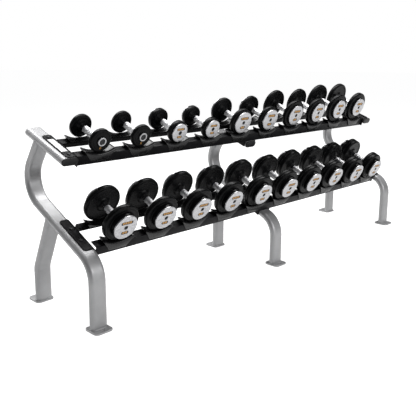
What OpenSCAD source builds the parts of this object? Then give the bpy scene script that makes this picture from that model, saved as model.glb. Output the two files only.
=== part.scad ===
// Two-tier dumbbell rack with twenty round-head dumbbells.
// Three flat-oval steel frames carry two sloping decks. Each deck is a pair of angle
// rails with moulded saddles, and each saddle pair holds one dumbbell.
// X runs along the rack, the front is at -Y, +Z is up, and the origin is on the floor
// at the middle of the footprint.

/* [Rack] */
// Width over the outer faces of the two end frames
overall_w = 2456; // [2440:1:2520]
// Depth over the foot plates
foot_depth = 560; // [555:1:580]
// Distance from one dumbbell to the next
pitch = 228.6; // [227:0.1:231]
// Dumbbells in each tier
per_tier = 10; // [10]

/* [Frame tube] */
// Width of the flat-oval tube, across the frame
tube_w = 80; // [78:1:84]
// Thickness of the flat-oval tube
tube_t = 36; // [34:1:38]
// Wall of the tube
tube_wall = 3; // [2:0.5:4]
// Length of the straight front leg below its bend
front_leg_h = 209; // [190:1:225]
// Bend radius of the front leg into the diagonal, on the centreline
front_bend_r = 119; // [100:1:125]
// Slope of the diagonal and the lower deck, in degrees
lower_slope = 24.6; // [23:0.1:26]
// Straight length of the diagonal
diagonal_l = 378; // [370:1:385]
// Bend radius of the diagonal into the upright post, on the centreline
post_bend_r = 125; // [115:1:130]
// Lean of the upright post back over the deck, measured from the rear, in degrees
post_heading = 126; // [122:0.5:130]
// Length of the straight rear leg below its bend
rear_leg_h = 152; // [140:1:170]
// Bend radius of the rear leg, on the centreline
rear_bend_r = 78; // [70:1:90]
// Forward lean of the rear leg above its bend, in degrees
rear_lean = 25.4; // [23:0.1:27]

/* [Top arm] */
// Slope of the top arm and the upper deck, in degrees
upper_slope = 19.5; // [18:0.1:21]
// Length of the top arm
arm_l = 304; // [295:1:310]
// Front end of the top arm behind the front leg's axis
arm_front_y = 174; // [165:1:180]
// Height of the front end of the top arm, on its centreline
arm_front_z = 698; // [690:1:705]
// Setback of the middle frame's arm along the slope
middle_setback = 10; // [0:1:15]

/* [Decks] */
// Leg of the angle rails
rail_leg = 45; // [40:1:50]
// Thickness of the angle rails
rail_t = 4; // [3:0.5:5]
// Front face of the front rail to rear face of the rear rail
deck_depth = 171; // [165:1:180]
// Front face of the upper deck, along the slope from the arm's front end
upper_deck_s = 10; // [6:1:12]
// Front face of the lower deck, along the slope from the start of the diagonal
lower_deck_s = -1; // [-4:1:2]
// Top of the upper rails above the tube's top face
upper_deck_rise = -5; // [-6:0.5:-4]
// Top of the lower rails above the tube's top face
lower_deck_rise = 5; // [4:0.5:6]

/* [Brackets] */
// Thickness of the end brackets
bracket_t = 4; // [3:0.5:5]
// Length of the end brackets along the slope
bracket_l = 214; // [205:1:220]
// Length of an end bracket's side below the tube's top face
bracket_drop = 50; // [46:1:55]
// Bolts of the upper end brackets, from each end of the bracket
upper_bolt_inset = 24; // [16:1:24]
// Bolts of the lower end brackets, from each end of the bracket
lower_bolt_inset = 66; // [30:1:80]
// Thickness of the middle brackets
strap_t = 3; // [2:0.5:4]
// Drop of the middle brackets' sides below the rails
strap_drop = 32; // [25:1:36]

/* [Saddles] */
// Radius of the cup that a dumbbell head rests in
cup_r = 160; // [150:1:175]
// Thickness of the saddle under the lowest line of the cup
saddle_floor = 3; // [2.5:0.5:4]
// Length of a saddle over the rail's top flange
saddle_l = 44; // [40:1:45]
// Height of the saddle's horns above the rail
horn_h = 23; // [18:1:25]
// Half width of the saddle at its horns
horn_x = 88; // [85:1:92]
// Half width of the apron at its lower edge
apron_x = 45; // [40:1:55]
// Drop of the apron below the rail's top
apron_drop = 32; // [28:1:36]
// Thickness of the apron in front of the rail
apron_t = 4; // [3:0.5:6]
// Depth of the double bevel on the outer edge of the cup
lip = 12; // [8:1:14]

/* [Feet] */
// Side of the square foot plates
plate_w = 92; // [88:1:98]
// Thickness of the foot plates
plate_t = 8; // [6:1:10]
// Corner radius of the foot plates
plate_corner_r = 20; // [10:1:25]
// Diameter of the floor bolt holes
bolt_hole_d = 13; // [11:0.5:14]
// Floor bolt hole to the outer edge of its plate
bolt_edge = 16; // [14:1:18]

/* [Dumbbells] */
// Diameter of the grip
grip_d = 34; // [30:1:36]
// Diameter of the shaft inside the heads
shaft_d = 25; // [22:1:26]
// Thickness of the end plates
end_plate_t = 5; // [4:0.5:6]

/* [Hidden] */
$fn = 64;
gap = 0.3;               // clearance between a dumbbell and its saddles
seat = 0.2;              // clearance between the pieces of one dumbbell
cap_proud = 6;           // thickness of the arm's end cap outside the tube
cap_plug = 12;           // length of the end cap inside the tube
end_wall = 3;            // closed rear end of the top arm
swell = 0.2;             // thickening of the tube's wall round a bend, on each side
lap = 1;                 // straight tube runs this far into a bend
cope_drop = 6;           // a coped end wraps the tube up to this far below its axis
weld_gap = 1;            // a cope is this much wider than the tube it fits
reach = 60;              // spare length that a coped end is cut from
bolt_x = 7;              // bracket bolts, inward from the middle of the frame
bolt_r = 4;              // M8
bolt_head_r = 7;
bolt_head_h = 4.4;
bolt_shank = 14;
bolt_clearance = 0.3;
tab_x = -16;             // outer edge of an end bracket's tab from the frame's middle
tab_corner_r = 15;
strap_inset = 4;         // middle brackets stop short of the rails' outer faces
label = [31, 120, 1.5];
label_x = 3;             // middle of the label from the frame's middle
label_s = 110;           // middle of the label along the slope
lip_bevel = 0.3;         // corner between the lip's two bevels, as a share of its depth
screw_r = 2;             // saddle screws, 4 mm
screw_clearance = 0.5;
screw_head_r = 4;
screw_head_h = 2.4;
screw_x = 58;            // saddle screws each side of the saddle's middle
screw_bite = 9;          // length of a saddle screw inside the saddle
socket_r = 4;            // hexagon socket of the dumbbell's end bolt
socket_depth = 4;
chamfer = 3;             // edge of the dumbbell heads
snug = 0.2;              // clearance between a bracket and the side of its tube

frame_x = (overall_w - tube_w) / 2;
front_y = 51 - foot_depth / 2;         // axis of the front legs
rear_y = foot_depth / 2 - 68;          // axis of the rear legs
flat_x = (tube_w - tube_t) / 2;        // half width of the flat part of the tube
bracket_x = tube_w / 2 + snug;         // frame's middle to the bracket's side
rail_x = frame_x - bracket_x - bracket_t;
upper_drop = rail_leg - upper_deck_rise + strap_t;  // middle arm below the end arms
lower_drop = rail_leg - lower_deck_rise + strap_t;

// Frame positions along X, from left to right
FRAME_X = [-frame_x, 0, frame_x];

// Dumbbells, one row for each pair of neighbours, from left to right:
// [head radius, head thickness, length over the end plates, end plate radius,
//  front end along the slope from the tier's origin]
UPPER = [[53, 38, 198, 21, 8], [53, 38, 198, 47, 8], [70, 38, 200, 60, 7],
         [82, 40, 208, 60, 4], [90, 44, 219, 60, 4]];
LOWER = [[89, 56, 232, 60, -20], [89, 60, 240, 60, -22], [89, 66, 252, 60, -26],
         [89, 72, 264, 60, -28], [86, 80, 280, 60, -36]];

// ---- Tube -------------------------------------------------------------------------

// Flat oval, w along X and t along Y
module oval(w, t) {
    square([w - t, t], center = true);
    for (side = [-1, 1]) translate([side * (w - t) / 2, 0]) circle(d = t);
}

// Section of the tube: an oval ring, thicker by extra on both sides
module section(extra = 0) {
    inside = 2 * (tube_wall + extra);
    difference() {
        oval(tube_w + 2 * extra, tube_t + 2 * extra);
        oval(tube_w - inside, tube_t - inside);
    }
}

// Places children at p = [y, z] in the side plane, with local +Y along heading a
module at(p, a) translate([0, p.x, p.y]) rotate([a, 0, 0]) children();

// Straight run of a 2-D section from p along heading a
module run(p, a, l) at(p, a) rotate([-90, 0, 0]) linear_extrude(l) children();

// Bend of the tube from p, starting along heading a and turning by t degrees. Bending
// swells the tube a little, so the straights that lap into it stay inside its wall.
module bend(p, a, t, r)
    translate([0, bend_centre(p, a, t, r).x, bend_centre(p, a, t, r).y])
        rotate([90, 0, 90]) rotate([0, 0, t > 0 ? a - 90 : a + 90 + t])
            rotate_extrude(angle = abs(t)) translate([r, 0]) rotate(90) section(swell);

function ahead(p, a, l) = p + l * [cos(a), sin(a)];
function above(p, a, h) = p + h * [-sin(a), cos(a)];
function bend_centre(p, a, t, r) = above(p, a, t > 0 ? r : -r);
function bend_end(p, a, t, r) = above(bend_centre(p, a, t, r), a + t, t > 0 ? -r : r);

// Distance along heading a from p to the line through q with heading b
function meet(p, a, q, b) =
    ((q.x - p.x) * sin(b) - (q.y - p.y) * cos(b)) / (cos(a) * sin(b) - sin(a) * cos(b));

// Straight tube from p along heading a, coped to fit under the tube through q, heading b
module coped_run(p, a, q, b) {
    difference() {
        run(p, a, meet(p, a, q, b) + reach) section();
        at(q, b) translate([-tube_w, -2 * arm_l, -cope_drop])
            cube([2 * tube_w, 4 * arm_l, 2 * tube_w]);
        run(ahead(q, b, -arm_l), b, 3 * arm_l) oval(tube_w + weld_gap, tube_t);
    }
}

// ---- Frames: i = 0 left, 1 middle, 2 right. The middle one sits under the rails ---

function is_middle(i) = i == 1;
function front_leg_top(i) =
    [front_y, front_leg_h - (is_middle(i) ? lower_drop / cos(lower_slope) : 0)];
function diagonal_start(i) =
    bend_end(front_leg_top(i), 90, lower_slope - 90, front_bend_r);
function diagonal_end(i) = ahead(diagonal_start(i), lower_slope, diagonal_l);
function end_arm_start() = [front_y + arm_front_y, arm_front_z];
function arm_start(i) = is_middle(i)
    ? ahead(above(end_arm_start(), upper_slope, -upper_drop), upper_slope, middle_setback)
    : end_arm_start();

module upright(i) {
    post_turn = post_heading - lower_slope;
    post_start = bend_end(diagonal_end(i), lower_slope, post_turn, post_bend_r);
    color("silver") translate([FRAME_X[i], 0, 0]) difference() {
        union() {
            run([front_y, plate_t], 90, front_leg_top(i).y - plate_t + lap) section();
            bend(front_leg_top(i), 90, lower_slope - 90, front_bend_r);
            run(ahead(diagonal_start(i), lower_slope, -lap), lower_slope, diagonal_l + 2 * lap)
                section();
            bend(diagonal_end(i), lower_slope, post_turn, post_bend_r);
            coped_run(ahead(post_start, post_heading, -lap), post_heading,
                arm_start(i), upper_slope);
        }
        if (!is_middle(i)) lower_deck() bolt_holes(i, lower_bolt_inset);
    }
}

module rear_leg(i) {
    leg_top = [rear_y, rear_leg_h];
    lean_start = bend_end(leg_top, 90, rear_lean, rear_bend_r);
    color("silver") translate([FRAME_X[i], 0, 0]) {
        run([rear_y, plate_t], 90, rear_leg_h - plate_t + lap) section();
        bend(leg_top, 90, rear_lean, rear_bend_r);
        coped_run(ahead(lean_start, 90 + rear_lean, -lap), 90 + rear_lean,
            diagonal_start(i), lower_slope);
    }
}

module top_arm(i) {
    color("silver") translate([FRAME_X[i], 0, 0]) difference() {
        run(arm_start(i), upper_slope, arm_l) oval(tube_w, tube_t);
        run(ahead(arm_start(i), upper_slope, -1), upper_slope, arm_l - end_wall + 1)
            oval(tube_w - 2 * tube_wall, tube_t - 2 * tube_wall);
        if (!is_middle(i)) upper_deck() bolt_holes(i, upper_bolt_inset);
    }
}

module arm_cap(i) {
    color("black") translate([FRAME_X[i], 0, 0]) {
        run(ahead(arm_start(i), upper_slope, -cap_proud), upper_slope, cap_proud)
            oval(tube_w, tube_t);
        run(arm_start(i), upper_slope, cap_plug)
            oval(tube_w - 2 * tube_wall - 1, tube_t - 2 * tube_wall - 1);
    }
}

// Square plate with rounded corners and one bolt hole, dir = -1 at the front, 1 at the rear
module foot_plate(i, dir) {
    edge_y = dir * foot_depth / 2;
    color("silver") translate([FRAME_X[i], edge_y - dir * plate_w / 2, 0]) difference() {
        linear_extrude(plate_t) rounded(plate_w, plate_w, plate_corner_r);
        translate([0, dir * (plate_w / 2 - bolt_edge), -1])
            cylinder(d = bolt_hole_d, h = plate_t + 2);
    }
}

module rounded(w, d, r) {
    square([w - 2 * r, d], center = true);
    square([w, d - 2 * r], center = true);
    for (x = [-1, 1], y = [-1, 1])
        translate([x * (w / 2 - r), y * (d / 2 - r)]) circle(r = r);
}

// ---- Decks: local +Y up the slope, local Z = 0 on the top face of the end tubes ---

module upper_deck() at(above(arm_start(0), upper_slope, tube_t / 2), upper_slope) children();
module lower_deck() at(above(diagonal_start(0), lower_slope, tube_t / 2), lower_slope) children();

module flip(axis, on) {
    if (on) mirror(axis) children();
    else children();
}

// The two bracket bolts of an end frame, about the frame's middle
module bolt_places(i, inset)
    for (s = [inset, bracket_l - inset])
        translate([i == 0 ? bolt_x : -bolt_x, s, 0]) children();

module bolt_holes(i, inset)
    bolt_places(i, inset) cylinder(r = bolt_r + bolt_clearance, h = tube_t / 2, center = true);

// Bracket of an end frame: a tab on the tube, bent down round its inner edge to the
// side that the rails are welded to
module end_bracket(i, inset) {
    color([0.1, 0.1, 0.11]) translate([FRAME_X[i], 0, 0]) difference() {
        flip([1, 0, 0], i > 0) {
            linear_extrude(bracket_t) tab();
            translate([0, bracket_l, 0]) rotate([90, 0, 0]) linear_extrude(bracket_l) side();
        }
        bolt_holes(i, inset);
    }
}

module tab() {
    r = tab_corner_r;
    translate([tab_x + r, 0]) square([flat_x - tab_x - r, bracket_l]);
    translate([tab_x, r]) square([r, bracket_l - 2 * r]);
    for (s = [r, bracket_l - r]) translate([tab_x + r, s]) circle(r = r);
}

module side() {
    outer_r = tube_t / 2 + snug + bracket_t;
    translate([bracket_x, -bracket_drop]) square([bracket_t, bracket_drop - tube_t / 2]);
    translate([flat_x, -tube_t / 2]) intersection() {
        difference() {
            circle(r = outer_r);
            circle(r = outer_r - bracket_t);
        }
        square(outer_r);
    }
}

// Strap over the middle frame's tube, under the rails
module middle_bracket(deck_s, drop) {
    half = bracket_x + strap_t;
    l = deck_depth - 2 * strap_inset;
    color([0.1, 0.1, 0.11]) translate([0, deck_s + strap_inset + l, -drop])
        rotate([90, 0, 0]) linear_extrude(l) difference() {
            translate([-half, -strap_drop]) square([2 * half, strap_drop + strap_t]);
            translate([-bracket_x, -strap_drop - 1]) square([2 * bracket_x, strap_drop + 1]);
        }
}

// Angle rail with its corner at the outer edge of the deck
module rail(deck_s, rise, dir) {
    outer = dir < 0 ? deck_s : deck_s + deck_depth;
    color([0.08, 0.08, 0.09]) translate([0, outer, rise]) flip([0, 1, 0], dir > 0) difference() {
        rotate([90, 0, 90]) linear_extrude(2 * rail_x, center = true) polygon([[0, 0],
            [rail_leg, 0], [rail_leg, -rail_t], [rail_t, -rail_t], [rail_t, -rail_leg],
            [0, -rail_leg]]);
        screw_places() translate([0, 0, -rail_t - 1])
            cylinder(r = screw_r + screw_clearance, h = rail_t + 2);
    }
}

module screw_places()
    for (k = [0:per_tier - 1], x = [-screw_x, screw_x])
        translate([dumbbell_x(k) + x, saddle_l / 2, 0]) children();

function dumbbell_x(k) = (k - (per_tier - 1) / 2) * pitch;

// One saddle: local +Y from the rail's outer face inward, Z = 0 on the rail's top.
// The slanted sides run straight from the horns to the apron's lower edge.
module saddle() {
    side = (horn_x - apron_x) / (horn_h + apron_drop);
    rail_half = horn_x - side * horn_h;
    cup_z = saddle_floor + cup_r;
    difference() {
        union() {
            translate([0, saddle_l, 0]) rotate([90, 0, 0]) linear_extrude(saddle_l + apron_t)
                polygon([[-rail_half, 0], [rail_half, 0], [horn_x, horn_h], [-horn_x, horn_h]]);
            rotate([90, 0, 0]) linear_extrude(apron_t)
                polygon([[-apron_x, -apron_drop], [apron_x, -apron_drop],
                    [rail_half, 0], [-rail_half, 0]]);
        }
        translate([0, -apron_t, cup_z]) rotate([-90, 0, 0]) rotate_extrude($fn = 128)
            polygon([[0, -1], [cup_r + lip, -1], [cup_r + lip, 0],
                [cup_r + lip_bevel * lip, lip_bevel * lip], [cup_r, lip],
                [cup_r, saddle_l + apron_t + 1], [0, saddle_l + apron_t + 1]]);
    }
}

module saddles(deck_s, rise, dir) {
    outer = dir < 0 ? deck_s : deck_s + deck_depth;
    color([0.13, 0.13, 0.14]) translate([0, outer, rise]) flip([0, 1, 0], dir > 0)
        for (k = [0:per_tier - 1]) translate([dumbbell_x(k), 0, 0]) saddle();
}

module label_plate()
    color("white") upper_deck()
        translate([FRAME_X[0] + label_x, label_s, bracket_t + label.z / 2])
            cube(label, center = true);

module bracket_bolts() {
    color([0.1, 0.1, 0.1]) for (i = [0, 2]) {
        upper_deck() translate([FRAME_X[i], 0, 0])
            bolt_places(i, upper_bolt_inset) bracket_bolt();
        lower_deck() translate([FRAME_X[i], 0, 0])
            bolt_places(i, lower_bolt_inset) bracket_bolt();
    }
}

module bracket_bolt() {
    translate([0, 0, bracket_t]) cylinder(r = bolt_head_r, h = bolt_head_h);
    translate([0, 0, bracket_t - bolt_shank]) cylinder(r = bolt_r, h = bolt_shank);
}

module saddle_screws() {
    color([0.3, 0.3, 0.32]) {
        upper_deck() deck_screws(upper_deck_s, upper_deck_rise);
        lower_deck() deck_screws(lower_deck_s, lower_deck_rise);
    }
}

module deck_screws(deck_s, rise) {
    for (dir = [-1, 1])
        translate([0, dir < 0 ? deck_s : deck_s + deck_depth, rise - rail_t])
            flip([0, 1, 0], dir > 0) screw_places() {
                translate([0, 0, -screw_head_h]) cylinder(r = screw_head_r, h = screw_head_h);
                cylinder(r = screw_r, h = rail_t + screw_bite);
            }
}

// ---- Dumbbells --------------------------------------------------------------------

// A dumbbell lies along the slope in its cups, k = 0 at the left
module dumbbell(tier, k, rise) {
    d = tier[floor(k / 2)];
    color([0.05, 0.05, 0.06])
        translate([dumbbell_x(k), d[4], rise + saddle_floor + gap + d[0]])
            rotate([-90, 0, 0]) dumbbell_pieces(d[0], d[1], d[2], d[3]);
}

// Shaft with its grip, two bored heads, two end plates and their socket bolts, along +Z
module dumbbell_pieces(head_r, head_t, l, plate_r) {
    inner = end_plate_t + seat + head_t + seat;
    translate([0, 0, inner]) cylinder(d = grip_d, h = l - 2 * inner);
    translate([0, 0, end_plate_t + seat]) cylinder(d = shaft_d, h = l - 2 * (end_plate_t + seat));
    for (end = [0, 1]) translate([0, 0, end * l]) flip([0, 0, 1], end == 1) {
        translate([0, 0, end_plate_t + seat]) head(head_r, head_t);
        end_plate(plate_r);
    }
}

module head(r, t) {
    rotate_extrude() polygon([[shaft_d / 2 + seat, 0], [r - chamfer, 0], [r, chamfer],
        [r, t - chamfer], [r - chamfer, t], [shaft_d / 2 + seat, t]]);
}

// End plate with the hexagon socket of its bolt
module end_plate(r) {
    difference() {
        cylinder(r = r, h = end_plate_t);
        translate([0, 0, -1]) cylinder(r = socket_r, h = socket_depth + 1, $fn = 6);
    }
}

// ---- Assembly ---------------------------------------------------------------------

upright(0);  // left_upright
upright(1);  // middle_upright
upright(2);  // right_upright
rear_leg(0);  // left_rear_leg
rear_leg(1);  // middle_rear_leg
rear_leg(2);  // right_rear_leg
top_arm(0);  // left_top_arm
top_arm(1);  // middle_top_arm
top_arm(2);  // right_top_arm
arm_cap(0);  // left_arm_cap
arm_cap(1);  // middle_arm_cap
arm_cap(2);  // right_arm_cap
foot_plate(0, -1);  // left_front_foot_plate
foot_plate(1, -1);  // middle_front_foot_plate
foot_plate(2, -1);  // right_front_foot_plate
foot_plate(0, 1);  // left_rear_foot_plate
foot_plate(1, 1);  // middle_rear_foot_plate
foot_plate(2, 1);  // right_rear_foot_plate
upper_deck() end_bracket(0, upper_bolt_inset);  // left_upper_bracket
upper_deck() end_bracket(2, upper_bolt_inset);  // right_upper_bracket
lower_deck() end_bracket(0, lower_bolt_inset);  // left_lower_bracket
lower_deck() end_bracket(2, lower_bolt_inset);  // right_lower_bracket
upper_deck() middle_bracket(upper_deck_s, upper_drop);  // middle_upper_bracket
lower_deck() middle_bracket(lower_deck_s, lower_drop);  // middle_lower_bracket
label_plate();
upper_deck() rail(upper_deck_s, upper_deck_rise, -1);  // upper_front_rail
upper_deck() rail(upper_deck_s, upper_deck_rise, 1);  // upper_rear_rail
lower_deck() rail(lower_deck_s, lower_deck_rise, -1);  // lower_front_rail
lower_deck() rail(lower_deck_s, lower_deck_rise, 1);  // lower_rear_rail
upper_deck() saddles(upper_deck_s, upper_deck_rise, -1);  // upper_front_saddles
upper_deck() saddles(upper_deck_s, upper_deck_rise, 1);  // upper_rear_saddles
lower_deck() saddles(lower_deck_s, lower_deck_rise, -1);  // lower_front_saddles
lower_deck() saddles(lower_deck_s, lower_deck_rise, 1);  // lower_rear_saddles
bracket_bolts();
saddle_screws();
for (k = [0:per_tier - 1]) {
    upper_deck() dumbbell(UPPER, k, upper_deck_rise);
    lower_deck() dumbbell(LOWER, k, lower_deck_rise);
}
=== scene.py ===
import math

import bmesh
import bpy
from mathutils import Matrix, Vector


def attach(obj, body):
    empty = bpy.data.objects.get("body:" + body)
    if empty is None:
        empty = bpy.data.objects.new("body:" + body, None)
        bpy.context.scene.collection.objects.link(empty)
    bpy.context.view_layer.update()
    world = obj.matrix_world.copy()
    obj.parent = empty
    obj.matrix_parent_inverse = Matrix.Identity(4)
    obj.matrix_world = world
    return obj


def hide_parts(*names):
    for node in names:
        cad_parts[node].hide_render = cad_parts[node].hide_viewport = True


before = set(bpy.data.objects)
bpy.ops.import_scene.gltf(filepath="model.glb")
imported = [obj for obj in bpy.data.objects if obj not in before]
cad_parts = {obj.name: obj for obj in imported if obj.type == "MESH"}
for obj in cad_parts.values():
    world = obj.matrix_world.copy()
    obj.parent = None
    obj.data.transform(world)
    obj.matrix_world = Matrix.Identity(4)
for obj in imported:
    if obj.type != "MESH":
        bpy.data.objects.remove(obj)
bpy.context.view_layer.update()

# Two-tier dumbbell rack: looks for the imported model. Lengths are in millimetres in the
# tables below and become metres in the meshes.
MM = 0.001

# ---- Sizes ------------------------------------------------------------------------

PITCH = 228.6
PER_TIER = 10
FRAME_X = {"left": -1188.0, "middle": 0.0, "right": 1188.0}
TUBE_W, TUBE_T = 80.0, 36.0
PLATE_T = 8.0

# Middle lines of the legs, and the bend at the top of a front leg
FRONT_LEG_Y, REAR_LEG_Y = -229.0, 212.0
FRONT_BEND_R, FRONT_LEG_H = 119.0, 209.0

# Each deck: the origin and angle of its slope on the end tubes' middle line, the rails'
# top above the tubes' top face, and the outer face of its front rail along the slope
LOWER_SLOPE, UPPER_SLOPE = math.radians(24.6), math.radians(19.5)
ARM_START = (FRONT_LEG_Y + 174.0, 698.0)
BEND_TURN = math.pi / 2 - LOWER_SLOPE
DIAGONAL_START = (
    FRONT_LEG_Y + FRONT_BEND_R * (1 - math.cos(BEND_TURN)),
    FRONT_LEG_H + FRONT_BEND_R * math.sin(BEND_TURN),
)
DECK_DEPTH = 171.0
DECKS = {
    "upper": {"start": ARM_START, "slope": UPPER_SLOPE, "rise": -5.0, "s": 10.0},
    "lower": {"start": DIAGONAL_START, "slope": LOWER_SLOPE, "rise": 5.0, "s": -1.0},
}

# Saddles: the hollow that a head rests in, the horns at its ends, the apron over the
# rail's face and the round of its lip
CUP_R = 160.0
SADDLE_FLOOR = 1.0
SADDLE_L = 44.0
HORN_H, HORN_X = 18.0, 82.0
APRON_X, APRON_DROP, APRON_T = 45.0, 32.0, 4.0
LIP_R = 12.0
CUP_STEPS, LIP_STEPS = 28, 6
HORN_STEP = 0.25
SADDLE_RIBS = (16, 26, 36, SADDLE_L)

# Dumbbells in pairs from left to right: head radius, disc thickness, boss thickness, length
# over the end plates, end plate radius and thickness, front end along the slope, and how
# many plates the disc is stacked from. The rubber stands 2 mm proud of the CAD's heads,
# and the saddles' floor is 2 mm thinner than the CAD's, so that the heads rest on it.
DUMBBELLS = {
    "upper": [(55, 24, 4, 198, 21, 5, 8, 1), (55, 24, 5, 198, 47, 7, 8, 1),
              (72, 24, 6, 200, 60, 7, 7, 1), (84, 26, 6, 208, 60, 7, 4, 1),
              (92, 28, 8, 219, 60, 7, 4, 1)],
    "lower": [(91, 26, 22, 232, 60, 7, -20, 1), (91, 30, 22, 240, 60, 7, -22, 1),
              (91, 36, 22, 252, 60, 7, -26, 2), (91, 43, 21, 264, 60, 7, -28, 2),
              (88, 50, 21, 280, 60, 7, -36, 2)],
}
BOSS_RIM = 3.0
REST_GAP = 0.3
SEAT = 0.2
GRIP_R, NECK_R = 17.0, 13.0


def deck_matrix(tier):
    """Deck frame in metres: X along the rack, Y up the slope, Z off the tubes' top face."""
    deck = DECKS[tier]
    turn = Matrix.Rotation(deck["slope"], 4, "X")
    start = Vector((0, deck["start"][0], deck["start"][1])) * MM
    return Matrix.Translation(start) @ turn @ Matrix.Translation((0, 0, TUBE_T / 2 * MM))


def dumbbell_x(k):
    return (k - (PER_TIER - 1) / 2) * PITCH


# ---- Materials --------------------------------------------------------------------

# The gloss patches of a coat are this many times finer than its colour patches
GLOSS_PATCHES = 5
GRAIN_STRENGTH = 0.35
KNURL_LEAN = math.radians(35)


def node(tree, kind, **values):
    made = tree.nodes.new(kind)
    for name, value in values.items():
        if hasattr(made, name) and name not in made.inputs:
            setattr(made, name, value)
        else:
            made.inputs[name].default_value = value
    return made


def noise_texture(tree, coords, scale, detail=4.0, roughness=0.5):
    noise = node(tree, "ShaderNodeTexNoise")
    noise.inputs["Scale"].default_value = scale
    noise.inputs["Detail"].default_value = detail
    noise.inputs["Roughness"].default_value = roughness
    tree.links.new(coords, noise.inputs["Vector"])
    return noise.outputs["Fac"]


def map_range(tree, value, low, high, start=0.3, end=0.7):
    ranged = node(tree, "ShaderNodeMapRange")
    ranged.inputs["From Min"].default_value = start
    ranged.inputs["From Max"].default_value = end
    ranged.inputs["To Min"].default_value = low
    ranged.inputs["To Max"].default_value = high
    tree.links.new(value, ranged.inputs["Value"])
    return ranged.outputs["Result"]


def two_colours(tree, value, dark, light):
    ramp = node(tree, "ShaderNodeValToRGB")
    ramp.color_ramp.elements[0].position = 0.3
    ramp.color_ramp.elements[0].color = (*dark, 1)
    ramp.color_ramp.elements[1].position = 0.7
    ramp.color_ramp.elements[1].color = (*light, 1)
    tree.links.new(value, ramp.inputs["Fac"])
    return ramp.outputs["Color"]


def start_material(name, metallic):
    made = bpy.data.materials.new(name)
    made.use_nodes = True
    tree = made.node_tree
    shader = tree.nodes["Principled BSDF"]
    shader.inputs["Metallic"].default_value = metallic
    coords = node(tree, "ShaderNodeTexCoord").outputs["Object"]
    return made, tree, shader, coords


def bump(tree, shader, height, strength, distance, after=None):
    made = node(tree, "ShaderNodeBump")
    made.inputs["Strength"].default_value = strength
    made.inputs["Distance"].default_value = distance
    tree.links.new(height, made.inputs["Height"])
    if after is not None:
        tree.links.new(after, made.inputs["Normal"])
    tree.links.new(made.outputs["Normal"], shader.inputs["Normal"])
    return made.outputs["Normal"]


def coated(name, dark, light, metallic, rough, grain, grain_depth, patch=9.0, specular=0.5):
    """A coat or moulding: slow colour and gloss patches and a fine grain in relief."""
    made, tree, shader, coords = start_material(name, metallic)
    patches = noise_texture(tree, coords, patch, 5.0, 0.6)
    tree.links.new(two_colours(tree, patches, dark, light), shader.inputs["Base Color"])
    fine = noise_texture(tree, coords, grain, 2.0, 0.6)
    gloss = noise_texture(tree, coords, patch * GLOSS_PATCHES, 4.0, 0.6)
    tree.links.new(map_range(tree, gloss, *rough), shader.inputs["Roughness"])
    shader.inputs["Specular IOR Level"].default_value = specular
    bump(tree, shader, fine, GRAIN_STRENGTH, grain_depth)
    return made


def chrome_plate_material():
    """Cast and plated end plate: bright, finely pitted, with faint turning rings."""
    made, tree, shader, coords = start_material("chrome_plate", 1.0)
    patches = noise_texture(tree, coords, 160.0, 6.0, 0.65)
    tree.links.new(
        two_colours(tree, patches, (0.27, 0.27, 0.28), (0.54, 0.54, 0.55)),
        shader.inputs["Base Color"],
    )
    tree.links.new(map_range(tree, patches, 0.24, 0.42), shader.inputs["Roughness"])
    rings = node(tree, "ShaderNodeTexWave", wave_type="RINGS", rings_direction="Z")
    rings.inputs["Scale"].default_value = 240.0
    rings.inputs["Distortion"].default_value = 1.5
    rings.inputs["Detail"].default_value = 2.0
    tree.links.new(coords, rings.inputs["Vector"])
    turned = bump(tree, shader, rings.outputs["Fac"], 0.12, 0.0002)
    bump(tree, shader, patches, 0.35, 0.0006, after=turned)
    return made


def polished_material():
    """Polished shoulders of the handle, with fine wear."""
    made, tree, shader, coords = start_material("polished_steel", 1.0)
    patches = noise_texture(tree, coords, 220.0, 5.0, 0.6)
    tree.links.new(
        two_colours(tree, patches, (0.42, 0.42, 0.43), (0.62, 0.62, 0.63)),
        shader.inputs["Base Color"],
    )
    tree.links.new(map_range(tree, patches, 0.12, 0.24), shader.inputs["Roughness"])
    bump(tree, shader, patches, 0.1, 0.0002)
    return made


def knurl_material():
    """Grip with a diamond knurl: two helical sets of fine grooves."""
    made, tree, shader, coords = start_material("knurled_grip", 1.0)
    heights = []
    for lean in (1, -1):
        turned = node(tree, "ShaderNodeMapping", vector_type="POINT")
        turned.inputs["Rotation"].default_value = (0.0, lean * KNURL_LEAN, 0.0)
        tree.links.new(coords, turned.inputs["Vector"])
        wave = node(tree, "ShaderNodeTexWave", wave_type="BANDS", bands_direction="Z")
        wave.inputs["Scale"].default_value = 190.0
        wave.inputs["Distortion"].default_value = 0.0
        tree.links.new(turned.outputs["Vector"], wave.inputs["Vector"])
        heights.append(wave.outputs["Fac"])
    crossed = node(tree, "ShaderNodeMath", operation="MULTIPLY")
    tree.links.new(heights[0], crossed.inputs[0])
    tree.links.new(heights[1], crossed.inputs[1])
    patches = noise_texture(tree, coords, 130.0, 4.0, 0.6)
    tree.links.new(
        two_colours(tree, patches, (0.50, 0.50, 0.51), (0.66, 0.66, 0.67)),
        shader.inputs["Base Color"],
    )
    tree.links.new(map_range(tree, patches, 0.36, 0.52), shader.inputs["Roughness"])
    bump(tree, shader, crossed.outputs[0], 0.6, 0.0005)
    return made


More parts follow.
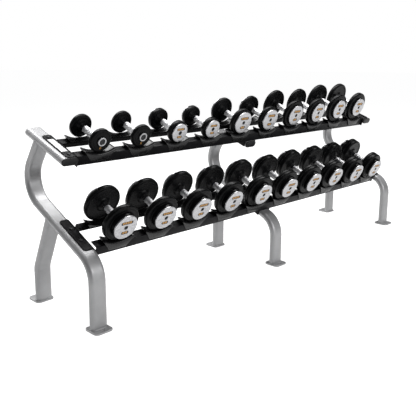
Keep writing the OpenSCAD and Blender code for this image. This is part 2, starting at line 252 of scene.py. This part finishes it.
SILVER = coated("silver_powder_coat", (0.34, 0.34, 0.345), (0.40, 0.40, 0.405), 0.5,
                (0.40, 0.50), 1500.0, 0.00008)
BLACK = coated("black_powder_coat", (0.0015, 0.0015, 0.002), (0.004, 0.004, 0.005), 0.0,
               (0.40, 0.52), 1300.0, 0.0004, specular=0.10)
SADDLE = coated("saddle_plastic", (0.003, 0.003, 0.0035), (0.006, 0.006, 0.0065), 0.0,
                (0.22, 0.32), 1700.0, 0.0002, specular=0.30)
CAP = coated("cap_plastic", (0.005, 0.005, 0.006), (0.009, 0.009, 0.010), 0.0,
             (0.36, 0.48), 1500.0, 0.0003, specular=0.25)
RUBBER = coated("head_rubber", (0.0010, 0.0011, 0.0013), (0.0026, 0.0028, 0.0033), 0.0,
                (0.24, 0.34), 900.0, 0.0003, patch=22.0, specular=0.08)
LABEL = coated("label_face", (0.74, 0.74, 0.74), (0.82, 0.82, 0.82), 0.0,
               (0.30, 0.40), 1400.0, 0.0001)
ORANGE = coated("orange_infill", (0.72, 0.36, 0.09), (0.86, 0.50, 0.18), 0.0,
                (0.40, 0.55), 1200.0, 0.0003, patch=120.0)
DARK_STEEL = coated("black_oxide", (0.018, 0.018, 0.019), (0.035, 0.035, 0.037), 0.8,
                    (0.30, 0.45), 1200.0, 0.0003, patch=60.0)
ZINC = coated("zinc_plate", (0.42, 0.42, 0.43), (0.55, 0.55, 0.56), 1.0,
              (0.28, 0.42), 1200.0, 0.0002, patch=60.0)
CHROME = chrome_plate_material()
POLISHED = polished_material()
KNURL = knurl_material()


# ---- Mesh tools -------------------------------------------------------------------

def new_object(name, mesh, materials):
    made = bpy.data.objects.new(name, mesh)
    bpy.context.scene.collection.objects.link(made)
    for made_of in materials if not mesh.materials else ():
        mesh.materials.append(made_of)
    return made


def mesh_from(name, verts, faces):
    mesh = bpy.data.meshes.new(name)
    mesh.from_pydata([tuple(v) for v in verts], [], faces)
    mesh.update()
    return mesh


def smooth(mesh, angle=35.0):
    mesh.shade_smooth()
    work = bmesh.new()
    work.from_mesh(mesh)
    bmesh.ops.recalc_face_normals(work, faces=work.faces)
    for edge in work.edges:
        if len(edge.link_faces) == 2:
            edge.smooth = edge.calc_face_angle(0.0) < math.radians(angle)
    work.to_mesh(mesh)
    work.free()
    mesh.update()


def apply_bevel(made, width, angle=35.0, segments=3):
    """Rounds the edges sharper than angle and applies the modifier."""
    modifier = made.modifiers.new("bevel", "BEVEL")
    modifier.width = width * MM
    modifier.segments = segments
    modifier.limit_method = "ANGLE"
    modifier.angle_limit = math.radians(angle)
    modifier.use_clamp_overlap = True
    bpy.context.view_layer.update()
    evaluated = made.evaluated_get(bpy.context.evaluated_depsgraph_get())
    rounded = bpy.data.meshes.new_from_object(evaluated)
    made.modifiers.clear()
    old, made.data = made.data, rounded
    rounded.name = old.name
    smooth(rounded, angle)


def fillet(points, radii, steps=5):
    """Outline with each inner corner replaced by an arc of its own radius."""
    out = [points[0]]
    for before, here, after, radius in zip(points, points[1:], points[2:], radii):
        a = (Vector(before) - Vector(here)).normalized()
        b = (Vector(after) - Vector(here)).normalized()
        half = a.angle(b, math.pi) / 2
        if radius <= 0 or half > math.radians(89):
            out.append(here)
            continue
        back = radius / math.tan(half)
        centre = Vector(here) + (a + b).normalized() * (radius / math.sin(half))
        first = Vector(here) + a * back - centre
        turn = math.pi - 2 * half
        sign = 1 if a.x * b.y - a.y * b.x < 0 else -1
        for i in range(steps + 1):
            angle = sign * turn * i / steps
            out.append((
                centre.x + first.x * math.cos(angle) - first.y * math.sin(angle),
                centre.y + first.x * math.sin(angle) + first.y * math.cos(angle),
            ))
    out.append(points[-1])
    return out


def lathe(name, profile, segments=96):
    """Solid of revolution about Z from (radius, z) points in mm; radius 0 closes an end."""
    verts, faces, rings = [], [], []
    for radius, z in profile:
        if radius < 1e-6:
            rings.append([len(verts)])
            verts.append((0.0, 0.0, z * MM))
            continue
        rings.append(list(range(len(verts), len(verts) + segments)))
        for i in range(segments):
            angle = 2 * math.pi * i / segments
            verts.append((radius * MM * math.cos(angle), radius * MM * math.sin(angle), z * MM))
    for low, high in zip(rings, rings[1:]):
        for i in range(segments):
            j = (i + 1) % segments
            if len(low) == 1:
                faces.append((low[0], high[i], high[j]))
            elif len(high) == 1:
                faces.append((low[i], high[0], low[j]))
            else:
                faces.append((low[i], high[i], high[j], low[j]))
    if len(rings[0]) > 1 and len(rings[-1]) > 1:
        for i in range(segments):
            j = (i + 1) % segments
            faces.append((rings[-1][i], rings[0][i], rings[0][j], rings[-1][j]))
    return mesh_from(name, verts, faces)


def loft(name, sections):
    """Closed solid through sections of equally many points, in mm, with flat ends."""
    count = len(sections[0])
    verts = [Vector(p) * MM for section in sections for p in section]
    faces = [tuple(range(count))]
    for k in range(len(sections) - 1):
        for i in range(count):
            j = (i + 1) % count
            low, high = k * count, (k + 1) * count
            faces.append((low + i, high + i, high + j, low + j))
    faces.append(tuple(reversed(range(len(verts) - count, len(verts)))))
    return mesh_from(name, verts, faces)


def joined(name, parts):
    """One mesh from (mesh, matrix, material slot number) parts."""
    work = bmesh.new()
    for mesh, matrix, slot_number in parts:
        start = len(work.faces)
        piece = mesh.copy()
        piece.transform(matrix)
        if matrix.determinant() < 0:
            piece.flip_normals()
        work.from_mesh(piece)
        bpy.data.meshes.remove(piece)
        work.faces.ensure_lookup_table()
        for face in work.faces[start:]:
            face.material_index = slot_number
    mesh = bpy.data.meshes.new(name)
    work.to_mesh(mesh)
    work.free()
    return mesh


def clean_copy(cad_node):
    """The CAD node's shape with its triangles joined into flat faces."""
    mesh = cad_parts[cad_node].data.copy()
    mesh.materials.clear()
    if "custom_normal" in mesh.attributes:
        mesh.attributes.remove(mesh.attributes["custom_normal"])
    work = bmesh.new()
    work.from_mesh(mesh)
    bmesh.ops.remove_doubles(work, verts=work.verts, dist=1e-6)
    bmesh.ops.dissolve_limit(
        work, angle_limit=math.radians(0.6), verts=work.verts, edges=work.edges
    )
    work.to_mesh(mesh)
    work.free()
    return mesh


def rounded_node(cad_node, material, slot_name, width, body="rack", angle=35.0):
    """A copy of a CAD node with rounded edges, which stands for the node."""
    mesh = clean_copy(cad_node)
    mesh.name = cad_node + "_rounded"
    made = new_object(cad_node + "_rounded", mesh, [material])
    apply_bevel(made, width, angle)
    if not made.data.materials:
        made.data.materials.append(material)
    place(made, body, slot_name, cad_node)
    return made


def place(made, body, slot_name, *replaced):
    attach(made, body)
    if replaced:
        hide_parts(*replaced)


# ---- Frames -----------------------------------------------------------------------

def paint_node(cad_node, material):
    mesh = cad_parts[cad_node].data
    mesh.materials.clear()
    mesh.materials.append(material)


def bead(name, path, radius, sides=8):
    """Closed weld bead along a path in mm, rippled along its length."""
    verts, faces = [], []
    count = len(path)
    for i, here in enumerate(path):
        here = Vector(here)
        along = (Vector(path[(i + 1) % count]) - Vector(path[i - 1])).normalized()
        side = along.cross(Vector((0.3, 0.2, 1))).normalized()
        up = side.cross(along)
        size = radius * (1 + 0.14 * math.sin(i * 2.4))
        for k in range(sides):
            angle = 2 * math.pi * k / sides
            verts.append((here + (side * math.cos(angle) + up * math.sin(angle)) * size) * MM)
    for i in range(count):
        for k in range(sides):
            a, b = i * sides + k, i * sides + (k + 1) % sides
            c, d = (i + 1) % count * sides + k, (i + 1) % count * sides + (k + 1) % sides
            faces.append((a, b, d, c))
    mesh = mesh_from(name, verts, faces)
    smooth(mesh, 80)
    return mesh


def oval_outline(width, thickness, count=72):
    """Points round a flat oval, evenly along its length, with the outward side."""
    radius, flat = thickness / 2, width - thickness
    total = 2 * flat + 2 * math.pi * radius
    points = []
    for i in range(count):
        s = total * i / count
        if s < flat:
            points.append((s - flat / 2, -radius))
        elif s < flat + math.pi * radius:
            angle = (s - flat) / radius - math.pi / 2
            points.append((flat / 2 + radius * math.cos(angle), radius * math.sin(angle)))
        elif s < 2 * flat + math.pi * radius:
            points.append((flat / 2 - (s - flat - math.pi * radius), radius))
        else:
            angle = (s - 2 * flat - math.pi * radius) / radius + math.pi / 2
            points.append((-flat / 2 + radius * math.cos(angle), radius * math.sin(angle)))
    return points


def build_frames():
    for side, x in FRAME_X.items():
        for part in ("upright", "rear_leg", "top_arm"):
            paint_node(f"{side}_{part}", SILVER)
        for end, leg_y in (("front", FRONT_LEG_Y), ("rear", REAR_LEG_Y)):
            rounded_node(f"{side}_{end}_foot_plate", SILVER, "silver_paint", 1.6)
            outline = oval_outline(TUBE_W + 1.5, TUBE_T + 1.5)
            path = [(x + p[0], leg_y + p[1], PLATE_T + 1.2) for p in outline]
            weld = new_object(f"{side}_{end}_foot_weld", bead("weld", path, 2.6), [SILVER])
            place(weld, "rack", "silver_paint")
        rounded_node(f"{side}_arm_cap", CAP, "black_plastic", 2.2)


# ---- Decks ------------------------------------------------------------------------

def saddle_section(u, apron):
    """Outline of the saddle at distance u behind its outer face, from above the rail."""
    depth = u + APRON_T
    radius = CUP_R
    if depth < LIP_R:
        radius = CUP_R + LIP_R - math.sqrt(LIP_R ** 2 - (LIP_R - depth) ** 2)
    cup_z = SADDLE_FLOOR + CUP_R
    slope = (HORN_X - APRON_X) / (HORN_H + APRON_DROP)
    rail_half = HORN_X - slope * HORN_H
    top = HORN_H
    edge = math.sqrt(max(radius ** 2 - (cup_z - top) ** 2, 0))
    outer = rail_half + slope * top
    while edge > outer and top > -APRON_DROP:
        top -= HORN_STEP
        edge = math.sqrt(radius ** 2 - (cup_z - top) ** 2)
        outer = rail_half + slope * top
    curve = [
        (x, cup_z - math.sqrt(radius ** 2 - x ** 2))
        for x in (edge * (2 * i / CUP_STEPS - 1) for i in range(CUP_STEPS + 1))
    ]
    bottom, bottom_half = (-APRON_DROP, APRON_X) if apron else (0.0, rail_half)
    points = [(-bottom_half, bottom), (-outer, top), *curve, (outer, top), (bottom_half, bottom)]
    return [(x, u, z) for x, z in points]


def saddle_mesh():
    rounds = [LIP_R * (1 - math.cos(math.pi / 2 * i / LIP_STEPS)) for i in range(LIP_STEPS)]
    depths = sorted(set([0.4] + [r for r in rounds if r > 0.4] + [LIP_R]))
    sections = [saddle_section(-APRON_T + 0.02, True)]
    for depth in depths:
        u = depth - APRON_T
        if u < 0:
            sections.append(saddle_section(u, True))
    sections.append(saddle_section(0.0, True))
    sections.append(saddle_section(0.0, False))
    for depth in depths:
        u = depth - APRON_T
        if u > 0:
            sections.append(saddle_section(u, False))
    sections += [saddle_section(u, False) for u in SADDLE_RIBS]
    mesh = loft("saddle", sections)
    smooth(mesh)
    made = new_object("saddle_work", mesh, [])
    apply_bevel(made, 1.1, 32)
    mesh = made.data
    bpy.data.objects.remove(made)
    return mesh


def build_saddles():
    mesh = saddle_mesh()
    for tier in ("upper", "lower"):
        deck = DECKS[tier]
        for end in ("front", "rear"):
            outer = deck["s"] + (DECK_DEPTH if end == "rear" else 0)
            facing = Matrix.Scale(-1 if end == "rear" else 1, 4, (0, 1, 0))
            parts = []
            for k in range(PER_TIER):
                spot = Vector((dumbbell_x(k), outer, deck["rise"])) * MM
                parts.append((mesh, deck_matrix(tier) @ Matrix.Translation(spot) @ facing, 0))
            name = f"{tier}_{end}_saddles"
            group = joined(name + "_moulded", parts)
            made = new_object(name + "_moulded", group, [SADDLE])
            smooth(group, 40)
            place(made, "rack", "saddle_plastic", name)


def build_decks():
    for tier in ("upper", "lower"):
        for end in ("front", "rear"):
            rounded_node(f"{tier}_{end}_rail", BLACK, "black_paint", 1.4)
        for side in FRAME_X:
            rounded_node(f"{side}_{tier}_bracket", BLACK, "black_paint", 1.2)
    rounded_node("label_plate", LABEL, "label_white", 0.5)
    rounded_node("bracket_bolts", DARK_STEEL, "black_steel", 1.2)
    rounded_node("saddle_screws", ZINC, "zinc_steel", 0.4)


# ---- Dumbbells --------------------------------------------------------------------

# Ring groove in a disc's front face, where the boss leaves room for it, the joint between
# two stacked plates, and the hubs on the heads' rear faces
RING_ROOM, RING_DEPTH = 20.0, 1.2
JOINT_W, JOINT_DEPTH = 5.0, 3.5
HUB_R, SMALL_HUB_R, SMALL_HEAD_R = 32.0, 24.0, 60.0
# End plates: the largest that is a plain ring, the ring's inner radius, the one that the
# recesses are drawn for, and the bolt's socket
RING_PLATE_R, RING_BORE = 30.0, 14.6
FULL_PLATE_R = 60.0
SOCKET_R = 10.5
HEX_R = 6.6
# Recesses in a full end plate: width, height, middle above the centre, number of coloured
# bars in the recess and the width that they take
RECESSES = ((62.0, 16.0, 25.0, 4, 50.0), (38.0, 16.0, -27.0, 2, 28.0))


def head_mesh(name, radius, disc_t, boss_r, boss_t, plates):
    """Rubber head: a boss with its face at z = 0 and behind it a disc with soft edges, a
    shallow ring groove in its front face, a dished rear face and a hub round the shaft."""
    thick = boss_t + disc_t
    points = [(NECK_R + 1, 0.0), (boss_r, 0.0), (boss_r, -boss_t)]
    radii = [min(2.0, boss_t / 2), min(3.0, boss_t / 3)]
    if radius - boss_r > RING_ROOM:
        ring = -boss_t - RING_DEPTH
        points += [(radius - 15, -boss_t), (radius - 14, ring), (radius - 12, ring),
                   (radius - 11, -boss_t)]
        radii += [0.4] * 4
    points.append((radius, -boss_t))
    edge = min(8.0, disc_t / plates * 0.36, (radius - boss_r) * 0.8)
    radii.append(edge)
    for i in range(1, plates):
        z = -boss_t - disc_t * i / plates
        points += [(radius, z + JOINT_W / 2), (radius - JOINT_DEPTH, z),
                   (radius, z - JOINT_W / 2)]
        radii += [3.0, 1.0, 3.0]
    hub = HUB_R if radius > SMALL_HEAD_R else SMALL_HUB_R
    points += [(radius, -thick), (radius - 13, -thick), (radius - 15, -thick + 2.0),
               (hub + 4, -thick + 2.0), (hub - 2, -thick - 4.0), (NECK_R + 6, -thick - 7.0),
               (NECK_R + 1, -thick - 7.0)]
    radii += [edge, 1.5, 1.5, 4.0, 3.0, 2.0]
    mesh = lathe(name, fillet(points, radii))
    smooth(mesh, 50)
    return mesh


def slot_cutter(width, height, y, depth):
    """Block with rounded ends for a slot in the end plate's face."""
    radius = height / 2 - 1.5
    outline = []
    for cx, cy, start in ((1, 1, 0), (-1, 1, 90), (-1, -1, 180), (1, -1, 270)):
        for i in range(6):
            angle = math.radians(start + 18 * i)
            outline.append((cx * (width / 2 - radius) + radius * math.cos(angle),
                            y + cy * (height / 2 - radius) + radius * math.sin(angle)))
    mesh = loft("cutter", [[(px, py, z) for px, py in outline] for z in (-depth, 4.0)])
    smooth(mesh)
    return mesh


def cut(mesh, cutters):
    """The mesh with the cutters taken away by exact booleans."""
    made = new_object("cut_work", mesh, [])
    tools = []
    for cutter in cutters:
        tool = new_object("cut_tool", cutter, [])
        modifier = made.modifiers.new("cut", "BOOLEAN")
        modifier.operation = "DIFFERENCE"
        modifier.solver = "EXACT"
        modifier.object = tool
        tools.append(tool)
    bpy.context.view_layer.update()
    evaluated = made.evaluated_get(bpy.context.evaluated_depsgraph_get())
    result = bpy.data.meshes.new_from_object(evaluated)
    for used in [made, *tools]:
        bpy.data.objects.remove(used)
    return result


def between(mesh, low, high):
    """Moves the two flat sides of a block to the given heights, in mm."""
    for v in mesh.vertices:
        v.co.z = (high if v.co.z > 0 else low) * MM
    return mesh


def ring_end_parts(radius, thick):
    """Chrome ring with a dark centre, and a coloured bar on the rubber below it."""
    ring = lathe("chrome_ring", fillet(
        [(RING_BORE, -thick), (RING_BORE, -0.8), (RING_BORE + 1, 0.0), (radius - 1.2, 0.0),
         (radius, -1.2), (radius, -thick), (RING_BORE, -thick)],
        [0.5, 0.8, 0.8, 0.8, 0.3]), 72)
    centre = lathe("ring_centre", fillet(
        [(0.0, -2.6), (5.0, -2.6), (6.0, -1.8), (13.0, -1.8), (14.5, -3.0), (14.5, -thick),
         (0.0, -thick)], [0.3, 0.6, 1.0, 0.5, 0.2]), 48)
    bar = between(slot_cutter(8.0, 15.0, -33.0, 4.0), -thick - 5.0, -thick - 3.4)
    for mesh in (ring, centre, bar):
        smooth(mesh, 40)
    return ring, [centre], [bar]


def end_plate_parts(radius, thick):
    """Chrome plate, its dark recesses and its coloured bars; the face is at z = 0."""
    if radius < RING_PLATE_R:
        return ring_end_parts(radius, thick)
    share = radius / FULL_PLATE_R
    face = lathe("end_plate", fillet(
        [(0.0, 0.0), (radius, 0.0), (radius, -thick), (0.0, -thick)], [2.2, 0.5]))
    cutters, darks, bars = [], [], []
    for width, height, y, count, span in RECESSES:
        width, height, y, span = (v * share for v in (width, height, y, span))
        cutters.append(slot_cutter(width, height, y, 1.6))
        darks.append(between(slot_cutter(width, height, y, 1.6), -1.9, -1.1))
        step = span / count
        for i in range(count):
            bar = between(slot_cutter(step * 0.84, height * 0.74, 0.0, 1.0), -1.3, -0.4)
            bar.transform(Matrix.Translation(
                Vector((step * (i + 0.5) - span / 2, y, 0)) * MM))
            bars.append(bar)
    hole = lathe("socket_hole", [(0.0, 2.0), (SOCKET_R, 2.0), (SOCKET_R, -3.2), (0.0, -3.2)], 48)
    smooth(hole)
    cutters.append(hole)
    plate = cut(face, cutters)
    smooth(plate, 30)
    hexagon = lathe("hexagon", [(0.0, 2.0), (HEX_R, 2.0), (HEX_R, -2.8), (0.0, -2.8)], 6)
    smooth(hexagon)
    bolt = lathe("end_bolt", fillet(
        [(0.0, -0.6), (SOCKET_R - 0.4, -0.6), (SOCKET_R - 0.4, -3.4), (0.0, -3.4)],
        [0.9, 0.2]), 48)
    smooth(bolt)
    bolt = cut(bolt, [hexagon])
    smooth(bolt, 30)
    return plate, [*darks, bolt], bars


def handle_meshes(gap):
    """Knurled grip and its polished shoulders for a gap between the heads, about z = 0."""
    half = gap / 2
    neck = min(26.0, gap * 0.22)
    grip_half = half - neck
    grip = lathe("grip", fillet(
        [(0.0, -grip_half), (GRIP_R - 1, -grip_half), (GRIP_R, -grip_half + 3),
         (GRIP_R, grip_half - 3), (GRIP_R - 1, grip_half), (0.0, grip_half)],
        [0.8, 1.0, 1.0, 0.8]), 72)
    ends = []
    for side in (1, -1):
        shoulder = lathe("shoulder", fillet(
            [(0.0, grip_half - 4), (NECK_R + 1.5, grip_half - 4), (NECK_R + 1.5, grip_half + 3),
             (NECK_R, grip_half + 4), (NECK_R, half + 4), (0.0, half + 4)],
            [0.1, 0.8, 0.8, 0.1]), 64)
        ends.append((shoulder, Matrix.Scale(side, 4, (0, 0, 1)), 0))
    for mesh in [grip] + [part[0] for part in ends]:
        smooth(mesh, 40)
    return grip, joined("shoulders", ends)


def facing(side):
    """Matrix that turns an outer face to the front (1) or to the rear (-1)."""
    return Matrix.Identity(4) if side > 0 else Matrix.Rotation(math.pi, 4, "Y")


def build_dumbbell_meshes(row):
    radius, disc_t, boss_t, length, plate_r, plate_t, _, plates = row
    face = length / 2
    head = head_mesh("head", radius, disc_t, plate_r + BOSS_RIM, boss_t, plates)
    plate, darks, bars = end_plate_parts(plate_r, plate_t)
    heads, chromes, insets, marks = [], [], [], []
    for side in (1, -1):
        turn = facing(side)
        behind_plate = Matrix.Translation((0, 0, (face - plate_t - SEAT) * MM))
        heads.append((head, turn @ behind_plate, 0))
        at_face = turn @ Matrix.Translation((0, 0, face * MM))
        chromes.append((plate, at_face, 0))
        insets += [(dark, at_face, 0) for dark in darks]
        marks += [(bar, at_face, 0) for bar in bars]
    gap = length - 2 * (plate_t + SEAT + boss_t + disc_t + SEAT)
    grip, shoulders = handle_meshes(gap)
    return {
        "heads": (joined("heads", heads), RUBBER),
        "end_plates": (joined("end_plates", chromes), CHROME),
        "recesses": (joined("recesses", insets), DARK_STEEL),
        "marks": (joined("marks", marks), ORANGE),
        "grip": (grip, KNURL),
        "shoulders": (shoulders, POLISHED),
    }


def build_dumbbells():
    for tier, rows in DUMBBELLS.items():
        deck = DECKS[tier]
        for pair, row in enumerate(rows):
            radius, length, start = row[0], row[3], row[6]
            meshes = build_dumbbell_meshes(row)
            for k in (2 * pair, 2 * pair + 1):
                centre = Vector((
                    dumbbell_x(k), start + length / 2,
                    deck["rise"] + SADDLE_FLOOR + REST_GAP + radius,
                )) * MM
                lying = deck_matrix(tier) @ Matrix.Translation(centre) @ Matrix.Rotation(
                    math.pi / 2, 4, "X")
                name = f"{tier}_dumbbell_{k + 1}"
                for part, (mesh, material) in meshes.items():
                    made = new_object(f"{name}_{part}", mesh, [material])
                    made.matrix_world = lying
                    replaced = [name] if part == "heads" else []
                    place(made, name, "dumbbell_iron", *replaced)


# ---- Stage ------------------------------------------------------------------------

# Radii in millimetres; everything else on the stage is in metres
FLOOR_R, DOME_R = 38000.0, 40000.0
FLOOR_ALBEDO, FLOOR_GLOW = 0.40, 0.91
# Area lights: place, target, width and height, power in watts
LIGHTS = {
    "top_softbox": ((0.6, 0.9, 4.2), (0.0, 0.0, 0.5), (6.0, 1.2), 290),
    "front_softbox": ((0.5, -5.0, 2.4), (0.0, 0.0, 0.5), (4.0, 1.6), 130),
    "rear_softbox": ((-1.5, 4.0, 2.4), (0.0, 0.0, 0.6), (4.0, 2.0), 90),
}
CAMERA_PLACE = (-2.557, -2.228, 1.149)
CAMERA_AZIMUTH, CAMERA_DOWN, CAMERA_ROLL = 45.12, 11.54, 0.42
SENSOR_W, LENS = 36.0, 52.45
SHIFT_X, SHIFT_Y = 0.0044, -0.0753


def stage_material(name, albedo, glow):
    """Pale and glowing a little, so that it stays near white away from the lamps."""
    made = bpy.data.materials.new(name)
    made.use_nodes = True
    shader = made.node_tree.nodes["Principled BSDF"]
    shader.inputs["Base Color"].default_value = (albedo, albedo, albedo, 1)
    shader.inputs["Emission Color"].default_value = (1, 1, 1, 1)
    shader.inputs["Emission Strength"].default_value = glow
    shader.inputs["Roughness"].default_value = 0.9
    shader.inputs["Specular IOR Level"].default_value = 0.0
    made.cycles.emission_sampling = "NONE"
    return made


def build_stage():
    floor = lathe("floor", [(0.0, 0.0), (FLOOR_R, 0.0)], 64)
    made = new_object(
        "floor", floor, [stage_material("floor_pale", FLOOR_ALBEDO, FLOOR_GLOW)])
    made.visible_diffuse = False
    arc = [(DOME_R * math.cos(math.radians(a)), DOME_R * math.sin(math.radians(a)))
           for a in range(-5, 90, 5)] + [(0.0, DOME_R)]
    dome = lathe("backdrop", arc, 64)
    made = new_object("backdrop", dome, [stage_material("backdrop_pale", 0.0, 1.0)])
    for ray in ("diffuse", "glossy", "transmission", "shadow", "volume_scatter"):
        setattr(made, "visible_" + ray, False)
    world = bpy.data.worlds.new("studio")
    world.use_nodes = True
    world.node_tree.nodes["Background"].inputs["Color"].default_value = (0.97, 0.98, 1.0, 1)
    world.node_tree.nodes["Background"].inputs["Strength"].default_value = 0.2
    bpy.context.scene.world = world


def area_light(name, place_at, target, size, power):
    light = bpy.data.lights.new(name, "AREA")
    light.shape = "RECTANGLE"
    light.size, light.size_y = size
    light.energy = power
    made = bpy.data.objects.new(name, light)
    made.location = place_at
    towards = Vector(target) - Vector(place_at)
    made.rotation_euler = towards.to_track_quat("-Z", "Y").to_euler()
    bpy.context.scene.collection.objects.link(made)


def build_lights():
    for name, values in LIGHTS.items():
        area_light(name, *values)


def build_camera():
    """Camera at the front left, 45 degrees round and 11.5 degrees down."""
    azimuth, down = math.radians(CAMERA_AZIMUTH), math.radians(CAMERA_DOWN)
    roll = math.radians(CAMERA_ROLL)
    forward = Vector((math.sin(azimuth) * math.cos(down),
                      math.cos(azimuth) * math.cos(down), -math.sin(down)))
    level = Vector((math.cos(azimuth), -math.sin(azimuth), 0))
    upright = level.cross(forward)
    right = level * math.cos(roll) + upright * math.sin(roll)
    up = upright * math.cos(roll) - level * math.sin(roll)
    camera = bpy.data.cameras.new("camera")
    camera.sensor_width = SENSOR_W
    camera.lens = LENS
    camera.shift_x, camera.shift_y = SHIFT_X, SHIFT_Y
    made = bpy.data.objects.new("camera", camera)
    turn = Matrix((right, up, -forward)).transposed().to_4x4()
    made.matrix_world = Matrix.Translation(CAMERA_PLACE) @ turn
    bpy.context.scene.collection.objects.link(made)
    bpy.context.scene.camera = made


def set_colours():
    bpy.context.scene.view_settings.view_transform = "Standard"


build_camera()
build_frames()
build_decks()
build_saddles()
build_dumbbells()
build_stage()
build_lights()
set_colours()
